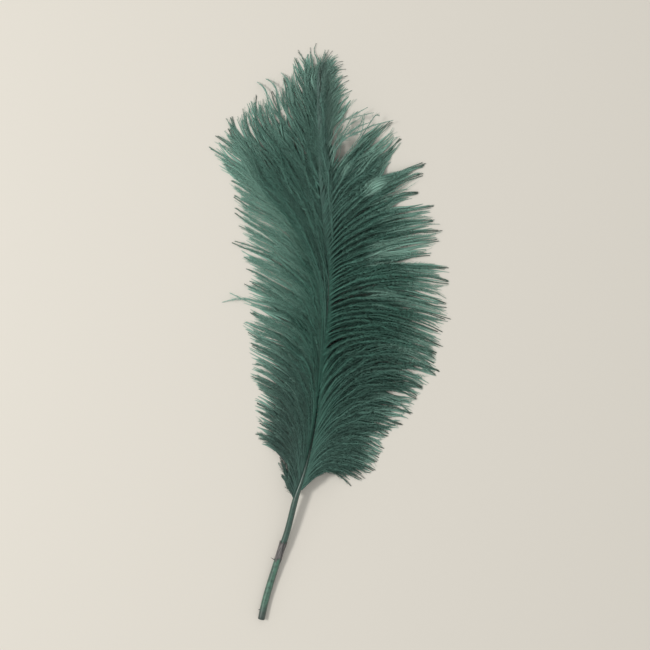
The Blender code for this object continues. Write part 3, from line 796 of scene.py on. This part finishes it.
looseBarbs = {
    "name": "loose_barbs",
    "seed": 21,
    "spacing": 0.45,
    "bulge": 2.0,
    "roll": 0.3,
    # how much painted pale light they and their ribs take at the root and at the tip
    "fringe": (0.6, 1.0),
    "ribFringe": (0.3, 0.7),
    "ribGrey": 0.3,
    "widths": (0.5, 0.5, 0.3),
    "tipFluff": 0.8,
    # points across and along, then height at the root and at the tip, shade, grey, fluff
    "strands": (
        (((34.5, 258), (40, 268), (45.9, 277), (51.5, 280.7), (59.4, 285.6)), 10.5, 4, 0.55, 0.4, 0.5),
        (((34.5, 255), (39, 265), (44, 276), (53.3, 280), (63, 282.8)), 10.5, 3, 0.55, 0.5, 0.4),
        (((40, 268), (45.6, 277.5), (45.4, 280), (45.6, 283.9)), 9, 3, 0.35, 0.6, 0.15),
        (((36, 244), (46, 257), (54.7, 268.2), (56.8, 275.5), (57.5, 282.1)), 11.5, 5, 0.35, 0.7, 0.15),
        (((35, 252), (42, 266), (50.5, 271.2), (55.6, 276.3), (56.6, 280.7)), 11, 4, 0.35, 0.7, 0.15),
        (((35, 250), (41, 264), (46.8, 272.7), (52.9, 278.2)), 11, 4, 0.5, 0.5, 0.2),
        (((52, 262), (59.4, 274.2), (63.5, 280.3), (66.1, 280.9)), 8, 4, 0.35, 0.8, 0.1),
        (((38, 254), (44.5, 265.4), (53.8, 270.5), (61.7, 274.7), (73.8, 278.4)), 11, 4, 0.5, 0.4, 0.3),
        (((36, 246), (41.2, 260.3), (49.1, 268.6), (57, 272.4), (63, 276)), 11.5, 5, 0.45, 0.3, 0.6),
        (((39, 250), (40.7, 256.8), (43, 263.5), (45.8, 269.1), (49.7, 274.7)), 11, 4, 1, 0.1, 0.9),
        (((40.2, 245.6), (44.1, 252.3), (48.6, 258.4), (54.2, 264), (59.8, 268.5)), 11, 4, 1, 0.1, 1),
        (((39, 252.3), (40.2, 259), (41.8, 265.2), (43.5, 270.8), (45.8, 275.2)), 11, 4, 1, 0.1, 0.9),
        (((39.6, 254), (42.5, 262), (47, 269), (53.5, 274), (60.5, 277)), 11, 4, 1, 0.1, 0.9),
        # three pairs at the upper left
        (((6.4, 282), (4.2, 288), (2.9, 293.5), (0.6, 297.6), (-2.4, 300.4)), 3, 1, 0.8, 0.4, 0.35),
        (((7.1, 282), (4.9, 287.5), (3.6, 292.8), (1.5, 296.9), (-1, 299.2)), 3, 1, 0.85, 0.4, 0.35),
        (((11, 284), (9.2, 290.5), (8.2, 295.8), (5.8, 299.8), (2.4, 302.1)), 3, 1, 0.8, 0.4, 0.35),
        (((11.7, 284), (9.9, 290), (8.9, 295), (6.8, 298.8), (4, 301)), 3, 1, 0.85, 0.4, 0.35),
        (((17.6, 288), (16.3, 294), (15.2, 299), (13.3, 302.8), (11, 305.5)), 3, 1, 0.8, 0.4, 0.35),
        (((18.3, 288), (17, 293.6), (15.9, 298.4), (14.2, 302), (12.2, 304.6)), 3, 1, 0.85, 0.4, 0.35),
        # a wisp at the left edge
        (((9, 172), (2, 176.5), (-6, 178.5), (-14, 178.8), (-22, 177)), 4, 0.7, 0.8, 0.3, 0.6),
    ),
}


def looseField(table):
    rng = np.random.default_rng(table["seed"])
    along = np.linspace(0.0, 1.0, barb["steps"])
    rows = []
    for course, rootHeight, tipHeight, *_ in table["strands"]:
        flat = spline(course, along * (len(course) - 1.0))
        height = mix(rootHeight, tipHeight, along) + table["bulge"] * np.sin(along * math.pi)
        rows.append(np.column_stack([flat, height]))
    points = np.stack(rows)
    shades, greys, fluffs = (
        np.array([strand[i] for strand in table["strands"]])[:, None] for i in (3, 4, 5))
    level = np.zeros(points.shape[:2])
    return {
        "points": points,
        "shares": level + along,
        "shade": level + shades,
        "grey": level + greys,
        "ribGrey": level + table["ribGrey"],
        "fringe": level + mix(*table["fringe"], along),
        "ribFringe": level + mix(*table["ribFringe"], along),
        "fluff": level + fluffs,
        "widths": np.tile(table["widths"], (len(rows), 1)),
        "apart": level,
        "tipFluff": np.full(len(rows), table["tipFluff"]),
        "roll": rng.normal(0.0, table["roll"], len(rows)),
        "rng": rng,
    }


def dressLoose(table, material):
    field = looseField(table)
    makePiece(table["name"], [ribs(field), barbules(field, table["spacing"])], material)


# the bare quill and the shaft that runs on from it

quill = {
    "name": "quill",
    "sides": 24,
    "wall": 0.65,
    "hollow": 4.0,
    "rim": 0.12,
    # rings at even steps along the picture, from here to there
    "ringStep": 5.0,
    "bottom": 2.0,
    "top": 305.0,
    "tipRadius": 0.2,
    # along it, how much of the shaft's thickness shows between the barbs
    "bared": ((0, 1), (68, 1), (76, 0.8), (92, 0.48), (125, 0.3), (305, 0.3)),
    "floor": 0.02,    # nothing of it lies lower
}

sheathScrap = {
    "name": "sheath_scrap",
    "sides": 32,
    "rows": 8,
    "bottom": 34.4,
    "top": 43.0,
    "lift": 0.10,
    "thickness": 0.10,
    # how far its ends are torn, more so the lower one, and how fast that is lost towards its middle
    "ragged": 1.6,
    "tornBelow": (-0.6, 1.6),
    "tearFade": 4,
    # degrees round the quill where the flap is, and how it curls off at the top
    "flapAngle": -35.0,
    "flapSpread": 40.0,
    "flapLift": 0.8,
    "flapCurl": 3,
    "seed": 31,
}

stubHair = {
    "name": "stub_hair",
    "root": (7.3, 33.6, 3.0),
    "tip": (5.4, 34.7, 3.1),
    "sides": 8,
    "radius": 0.28,
    "tipRadius": 0.084,
}

endNub = {
    "name": "end_nub",
    "root": (-0.2, 5.5, 1.9),
    "tip": (-1.5, 5.3, 1.7),
    "sides": 8,
    "radius": 0.55,
    "tipRadius": 0.165,
}


def arcLength(along):
    # distance along the shaft's curve from the cut end
    steps = np.linalg.norm(np.diff(shaftLine[:, :3], axis=0), axis=1)
    return np.interp(along, shaftLine[:, 1], np.concatenate([[0.0], np.cumsum(steps)]))


def shaftCurve():
    # the shaft's centre line as a curve that straight pieces are bent along
    data = bpy.data.curves.new("shaft_line", "CURVE")
    data.dimensions = "3D"
    line = data.splines.new("POLY")
    line.points.add(len(shaftLine) - 1)
    for point, place in zip(line.points, (shaftLine[:, :3] - originFromCutEnd) * mm):
        point.co = (*place, 1.0)
    guide = bpy.data.objects.new("shaft_line", data)
    bpy.context.scene.collection.objects.link(guide)
    return guide


def startRing(table, distance, radius):
    # a ring of points round Z at this distance along it
    bpy.ops.object.select_all(action="DESELECT")
    bpy.ops.mesh.primitive_circle_add(
        vertices=table["sides"], radius=radius * mm, fill_type="NOTHING", location=(0.0, 0.0, 0.0))
    piece = bpy.context.object
    piece.name = table["name"]
    bpy.ops.object.mode_set(mode="EDIT")
    bpy.ops.mesh.select_all(action="SELECT")
    bpy.ops.transform.translate(value=(0.0, 0.0, distance * mm))
    return piece


def growRing(distance, radius, before):
    # carries the selected ring to this distance along Z, at this radius
    step = (0.0, 0.0, (distance - before[0]) * mm)
    bpy.ops.mesh.extrude_region_move(TRANSFORM_OT_translate={"value": step})
    scale = radius / before[1]
    bpy.ops.transform.resize(value=(scale, scale, 1.0), center_override=(0.0, 0.0, distance * mm))
    return distance, radius


def bendAlong(piece, guide):
    # keeps the straight position as an attribute, then bends the piece along the guide
    bpy.ops.object.mode_set(mode="OBJECT")
    grain = piece.data.attributes.new("grain", "FLOAT_VECTOR", "POINT")
    straight = np.empty(3 * len(piece.data.vertices), np.float32)
    piece.data.vertices.foreach_get("co", straight)
    grain.data.foreach_set("vector", straight)
    bend = piece.modifiers.new("bend", "CURVE")
    bend.object = guide
    bend.deform_axis = "POS_Z"
    bpy.ops.object.modifier_apply(modifier=bend.name)
    for vertex in piece.data.vertices:
        vertex.co.z = max(vertex.co.z, quill["floor"] * mm)


def finishSolid(piece, material):
    bpy.ops.object.mode_set(mode="EDIT")
    bpy.ops.mesh.select_all(action="SELECT")
    bpy.ops.mesh.normals_make_consistent(inside=False)
    bpy.ops.object.mode_set(mode="OBJECT")
    bpy.ops.object.shade_smooth()
    # how far each normal points up, which the quill's painted shade on its sides reads
    upward = piece.data.attributes.new("upward", "FLOAT", "POINT")
    upward.data.foreach_set("value", [vertex.normal.z for vertex in piece.data.vertices])
    piece.data.materials.append(material)
    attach(piece, "root")
    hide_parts("feather")
    print(piece.name, len(piece.data.polygons), "faces")


def makeQuill(table, guide, material):
    # drawn from the hollow's bottom out to the cut end, then round the rim and up the outside
    outer = shaft["stations"][0][3] / 2.0
    inner = outer - table["wall"]
    rim = table["rim"]
    rings = [(table["hollow"] - rim, inner), (rim, inner), (0.0, inner + rim)]
    rings += [(0.0, outer - rim), (rim, outer)]
    along = np.arange(table["bottom"], table["top"], table["ringStep"])
    diameters = shaftAt(along)[2] * np.interp(along, *np.transpose(table["bared"]))
    rings += [(distance, diameter / 2.0) for distance, diameter in zip(arcLength(along), diameters)]
    rings.append((arcLength(table["top"]) + table["ringStep"], table["tipRadius"]))
    before = (table["hollow"], inner)
    piece = startRing(table, *before)
    for distance, radius in rings:
        before = growRing(distance, radius, before)
    bpy.ops.mesh.select_all(action="DESELECT")
    bpy.ops.mesh.select_non_manifold()
    bpy.ops.mesh.fill_holes(sides=0)
    bpy.ops.object.mode_set(mode="OBJECT")
    smooth = piece.modifiers.new("smooth", "SUBSURF")
    smooth.levels = smooth.render_levels = 1
    bpy.ops.object.modifier_apply(modifier=smooth.name)
    bendAlong(piece, guide)
    finishSolid(piece, material)


def makeSheathScrap(table, guide, material):
    # a sleeve with torn ends, and a flap that stands off the quill
    rng = np.random.default_rng(table["seed"])
    bottom, top = arcLength(table["bottom"]), arcLength(table["top"])
    radius = float(shaftAt(table["bottom"])[2]) / 2.0 + table["lift"]
    before = (bottom, radius)
    piece = startRing(table, *before)
    for distance in np.linspace(bottom, top, table["rows"] + 1)[1:]:
        before = growRing(distance, radius, before)
    bpy.ops.object.mode_set(mode="OBJECT")
    for vertex in piece.data.vertices:
        share = (vertex.co.z / mm - bottom) / (top - bottom)
        angle = math.degrees(math.atan2(vertex.co.y, vertex.co.x))
        flap = max(0.0, 1.0 - abs(angle - table["flapAngle"]) / table["flapSpread"])
        grown = 1.0 + table["flapLift"] / radius * flap * share ** table["flapCurl"]
        vertex.co.x *= grown
        vertex.co.y *= grown
        above = rng.uniform(-1.0, 1.0) * share ** table["tearFade"]
        below = rng.uniform(*table["tornBelow"]) * (1.0 - share) ** table["tearFade"]
        vertex.co.z += (above - below) * table["ragged"] * mm
    shell = piece.modifiers.new("shell", "SOLIDIFY")
    shell.thickness = table["thickness"] * mm
    shell.offset = 1.0
    bpy.ops.object.modifier_apply(modifier=shell.name)
    bendAlong(piece, guide)
    finishSolid(piece, material)


def makeStub(table, material):
    bpy.ops.object.select_all(action="DESELECT")
    root, tip = ((np.array(table[end]) - originFromCutEnd) * mm for end in ("root", "tip"))
    bpy.ops.mesh.primitive_cone_add(
        vertices=table["sides"], radius1=table["radius"] * mm, radius2=table["tipRadius"] * mm,
        depth=float(np.linalg.norm(tip - root)), location=(root + tip) / 2.0)
    piece = bpy.context.object
    piece.name = table["name"]
    piece.rotation_euler = mathutils.Vector(tip - root).to_track_quat("Z", "Y").to_euler()
    bpy.ops.object.transform_apply(location=True, rotation=True, scale=True)
    finishSolid(piece, material)


# materials

class Wire:
    # one socket, in sums that add Math nodes
    def __init__(self, bench, socket):
        self.bench = bench
        self.socket = socket

    def maths(self, operation, first, second):
        return self.bench.add("ShaderNodeMath", {"operation": operation}, {0: first, 1: second})

    def __add__(self, other):
        return self.maths("ADD", self, other)

    def __sub__(self, other):
        return self.maths("SUBTRACT", self, other)

    def __rsub__(self, other):
        return self.maths("SUBTRACT", other, self)

    def __mul__(self, other):
        return self.maths("MULTIPLY", self, other)

    __radd__ = __add__
    __rmul__ = __mul__

    def __pow__(self, other):
        return self.maths("POWER", self, other)

    def clamped(self, scale):
        settings = {"operation": "MULTIPLY", "use_clamp": True}
        return self.bench.add("ShaderNodeMath", settings, {0: self, 1: scale})


class Bench:
    # a material and its nodes
    def __init__(self, name):
        self.material = bpy.data.materials.new(name)
        self.material.use_nodes = True
        self.tree = self.material.node_tree
        self.shader = self.tree.nodes["Principled BSDF"]

    def add(self, kind, settings, values, output=0):
        node = self.tree.nodes.new(kind)
        for name, value in settings.items():
            if name == "stops":
                self.setStops(node.color_ramp, value)
            else:
                setattr(node, name, value)
        for key, value in values.items():
            self.feed(node.inputs[key], value)
        return Wire(self, node.outputs[output])

    def setStops(self, ramp, stops):
        while len(ramp.elements) < len(stops):
            ramp.elements.new(0.5)
        for element, (position, colour) in zip(ramp.elements, stops):
            element.position = position
            element.color = (*colour, 1.0)

    def feed(self, socket, value):
        if isinstance(value, Wire):
            self.tree.links.new(value.socket, socket)
        else:
            socket.default_value = value

    def set(self, name, value):
        self.feed(self.shader.inputs[name], value)

    def read(self, name, output=2):
        # a number kept in the mesh, or with output 1 a vector
        return self.add("ShaderNodeAttribute", {"attribute_name": name}, {}, output)

    def noise(self, vector, scale, detail):
        return self.add("ShaderNodeTexNoise", {}, {"Vector": vector, "Scale": scale, "Detail": detail})

    def blend(self, first, second, share):
        settings = {"data_type": "RGBA", "clamp_factor": True}
        # the colours are sockets 6 and 7 of that node, and its output 2
        return self.add("ShaderNodeMix", settings, {0: share, 6: first, 7: second}, 2)


dyedPlumeAndPaintedLight = {
    "stops": (
        (0.0, (0.008, 0.034, 0.026)),
        (0.35, (0.031, 0.096, 0.073)),
        (0.65, (0.062, 0.178, 0.138)),
        (1.0, (0.130, 0.310, 0.250)),
    ),
    "grey": (0.105, 0.128, 0.128, 1.0),
    "greyShare": 0.75,
    "ribGrey": (0.120, 0.135, 0.115, 1.0),
    "ribGreyShare": 0.65,
    # painted light: pale mint standing in for light through the thin fuzz from the pale floor
    "fringe": (0.380, 0.640, 0.540, 1.0),
    "fringeShare": 0.9,
    # streaks for one turn of the UV map across and along, and how far they change shade and roughness
    "streaks": (180.0, 22.0, 1.0),
    "streakDetail": 2.0,
    "streakShade": 0.5,
    "streakRoughness": 0.2,
    "roughness": 0.68,
    "specular": 0.12,
    "sheen": 0.03,
    "sheenRoughness": 0.4,
}


def plumeMaterial():
    # the plume's dye, with the painted light and shade that its shade and fringe attributes carry
    bench = Bench("dyed_plume")
    place = bench.add("ShaderNodeUVMap", {"uv_map": "OFBake"}, {})
    stretched = bench.add("ShaderNodeMapping", {}, {"Vector": place, "Scale": dyedPlumeAndPaintedLight["streaks"]})
    streaks = bench.noise(stretched, 1.0, dyedPlumeAndPaintedLight["streakDetail"]) - 0.5
    shade = bench.read("shade") + streaks * dyedPlumeAndPaintedLight["streakShade"]
    colour = bench.add("ShaderNodeValToRGB", {"stops": dyedPlumeAndPaintedLight["stops"]}, {"Fac": shade})
    # the grey tuft and grey rib tips, then the painted pale light of the fringe
    for look in ("grey", "ribGrey", "fringe"):
        colour = bench.blend(colour, dyedPlumeAndPaintedLight[look], bench.read(look) * dyedPlumeAndPaintedLight[look + "Share"])
    bench.set("Base Color", colour)
    bench.set("Roughness", streaks * dyedPlumeAndPaintedLight["streakRoughness"] + dyedPlumeAndPaintedLight["roughness"])
    bench.set("Specular IOR Level", dyedPlumeAndPaintedLight["specular"])
    bench.set("Sheen Weight", dyedPlumeAndPaintedLight["sheen"])
    bench.set("Sheen Roughness", dyedPlumeAndPaintedLight["sheenRoughness"])
    return bench.material


dyedQuillAndPaintedShade = {
    # along the quill, its colour; between them the colour changes evenly
    "bands": (
        (0, (0.04, 0.055, 0.052)), (4, (0.05, 0.085, 0.072)), (9, (0.075, 0.2, 0.14)),
        (34, (0.07, 0.19, 0.13)), (46, (0.027, 0.092, 0.068)), (75, (0.026, 0.086, 0.064)),
        (100, (0.014, 0.05, 0.037)), (130, (0.008, 0.028, 0.02)), (320, (0.008, 0.028, 0.02)),
    ),
    "length": 320.0,
    "dark": (0.012, 0.036, 0.028, 1.0),
    "streaks": (1.0, 1.0, 0.08),
    "streakScale": 1600.0,
    "streakDetail": 4.0,
    "blotchScale": 500.0,
    "blotchDetail": 3.0,
    # how fast streaks and blotches darken above this sum of theirs, and how painted shade darkens the
    # flanks
    "mottle": 2.0,
    "mottleFrom": 0.85,
    "flank": 1.25,
    "flankCurve": 2.0,
    "specular": 0.9,
    "roughness": 0.30,
    "streakRoughness": 0.3,
    # among the barbs the shaft turns matt from here on, over so many millimetres
    "mattFrom": 78.0,
    "mattOver": 25.0,
    "mattRoughness": 0.5,
    "bump": 0.25,
    "bumpHeight": 0.1,
}

drySheath = {
    "dark": (0.036, 0.036, 0.038, 1.0),
    "pale": (0.210, 0.200, 0.195, 1.0),
    "streaks": (1.0, 1.0, 0.15),
    "streakScale": 1500.0,
    "streakDetail": 5.0,
    # where its streaks turn pale, and how fast
    "paleFrom": 0.35,
    "contrast": 3.0,
    "roughness": 0.55,
    "bump": 0.5,
    "bumpHeight": 0.3,
}


def streaksOn(bench, look, grain):
    # fine streaks along the piece, which its bump follows
    streaked = bench.add("ShaderNodeMapping", {}, {"Vector": grain, "Scale": look["streaks"]})
    streaks = bench.noise(streaked, look["streakScale"], look["streakDetail"])
    sizes = {"Strength": look["bump"], "Distance": look["bumpHeight"] * mm, "Height": streaks}
    bench.set("Normal", bench.add("ShaderNodeBump", {}, sizes))
    return streaks


def quillMaterial():
    bench = Bench("dyed_quill_and_painted_shade")
    look = dyedQuillAndPaintedShade
    grain = bench.read("grain", 1)
    streaks = streaksOn(bench, look, grain)
    blotches = bench.noise(grain, look["blotchScale"], look["blotchDetail"])
    along = bench.add("ShaderNodeSeparateXYZ", {}, {0: grain}, 2) * (1.0 / (look["length"] * mm))
    stops = [(place / look["length"], colour) for place, colour in look["bands"]]
    colour = bench.add("ShaderNodeValToRGB", {"stops": stops}, {"Fac": along})
    colour = bench.blend(colour, look["dark"], (streaks + blotches - look["mottleFrom"]) * look["mottle"])
    # painted shade: the sides that turn away from above grow dark, standing in for the shaft's dark edges
    flank = (1.0 - bench.read("upward")) * look["flank"]
    bench.set("Base Color", bench.blend(colour, look["dark"], flank ** look["flankCurve"]))
    matt = (along * look["length"] - look["mattFrom"]).clamped(1.0 / look["mattOver"])
    rough = (streaks - 0.5) * look["streakRoughness"] + look["roughness"]
    bench.set("Roughness", rough + matt * look["mattRoughness"])
    bench.set("Specular IOR Level", look["specular"])
    return bench.material


def sheathMaterial():
    bench = Bench("dry_sheath")
    look = drySheath
    streaks = streaksOn(bench, look, bench.read("grain", 1))
    pale = (streaks - look["paleFrom"]) * look["contrast"]
    bench.set("Base Color", bench.blend(look["dark"], look["pale"], pale))
    bench.set("Roughness", look["roughness"])
    return bench.material


# floor, light and camera

stageLook = {
    # metres in the frame
    "floorSize": 6.0,
    "floorHeight": -0.00005,
    "lampSize": 0.34,
    "lampPlace": (-1.0, 0.28, 1.25),
    # colours and amounts
    "floorColour": (0.74, 0.715, 0.655, 1.0),
    "floorRoughness": 0.6,
    "floorSpecular": 0.2,
    "roomColour": (1.0, 0.985, 0.96, 1.0),
    "roomStrength": 0.60,
    "lampColour": (1.0, 0.97, 0.93),
    "lampPower": 13.0,
}


def makeFloor():
    bpy.ops.mesh.primitive_plane_add(
        size=stageLook["floorSize"], location=(0.0, 0.0, stageLook["floorHeight"]))
    floor = bpy.context.object
    floor.name = "floor"
    bench = Bench("pale_floor")
    bench.set("Base Color", stageLook["floorColour"])
    bench.set("Roughness", stageLook["floorRoughness"])
    bench.set("Specular IOR Level", stageLook["floorSpecular"])
    floor.data.materials.append(bench.material)


def makeLights():
    world = bpy.data.worlds.new("soft_room")
    bpy.context.scene.world = world
    world.use_nodes = True
    background = world.node_tree.nodes["Background"]
    background.inputs["Color"].default_value = stageLook["roomColour"]
    background.inputs["Strength"].default_value = stageLook["roomStrength"]
    lamp = bpy.data.lights.new("window", "AREA")
    lamp.shape = "DISK"
    lamp.size = stageLook["lampSize"]
    lamp.energy = stageLook["lampPower"]
    lamp.color = stageLook["lampColour"]
    window = bpy.data.objects.new("window", lamp)
    bpy.context.scene.collection.objects.link(window)
    window.location = stageLook["lampPlace"]
    window.rotation_euler = (-window.location).to_track_quat("-Z", "Y").to_euler()


view = {
    "pixels": 650,
    "mmPerPixel": 0.56,
    "cutEndPixel": (261.3, 618.5),
    "height": 700.0,
    "sensor": 36.0,
    "clipStart": 10.0,
}


def makeCamera():
    data = bpy.data.cameras.new("camera")
    camera = bpy.data.objects.new("camera", data)
    bpy.context.scene.collection.objects.link(camera)
    middle = view["pixels"] / 2.0
    across = (middle - view["cutEndPixel"][0]) * view["mmPerPixel"] - originFromCutEnd[0]
    along = (view["cutEndPixel"][1] - middle) * view["mmPerPixel"] - originFromCutEnd[1]
    camera.location = (across * mm, along * mm, view["height"] * mm)
    data.sensor_width = view["sensor"]
    data.lens = view["height"] * view["sensor"] / (view["pixels"] * view["mmPerPixel"])
    data.clip_start = view["clipStart"] * mm
    bpy.context.scene.camera = camera
    bpy.context.scene.view_settings.view_transform = "Standard"


makeCamera()
makeFloor()
makeLights()
print("camera, floor and light made")

# the plume material: its dye, with painted light and shade
dyed = plumeMaterial()
dressVane(leftVane, dyed)
dressVane(rightVane, dyed)
dressLoose(looseBarbs, dyed)
print("barbs made")

guide = shaftCurve()
makeQuill(quill, guide, quillMaterial())
dry = sheathMaterial()
makeSheathScrap(sheathScrap, guide, dry)
makeStub(stubHair, dry)
makeStub(endNub, dry)
bpy.data.objects.remove(guide)
print("quill made")
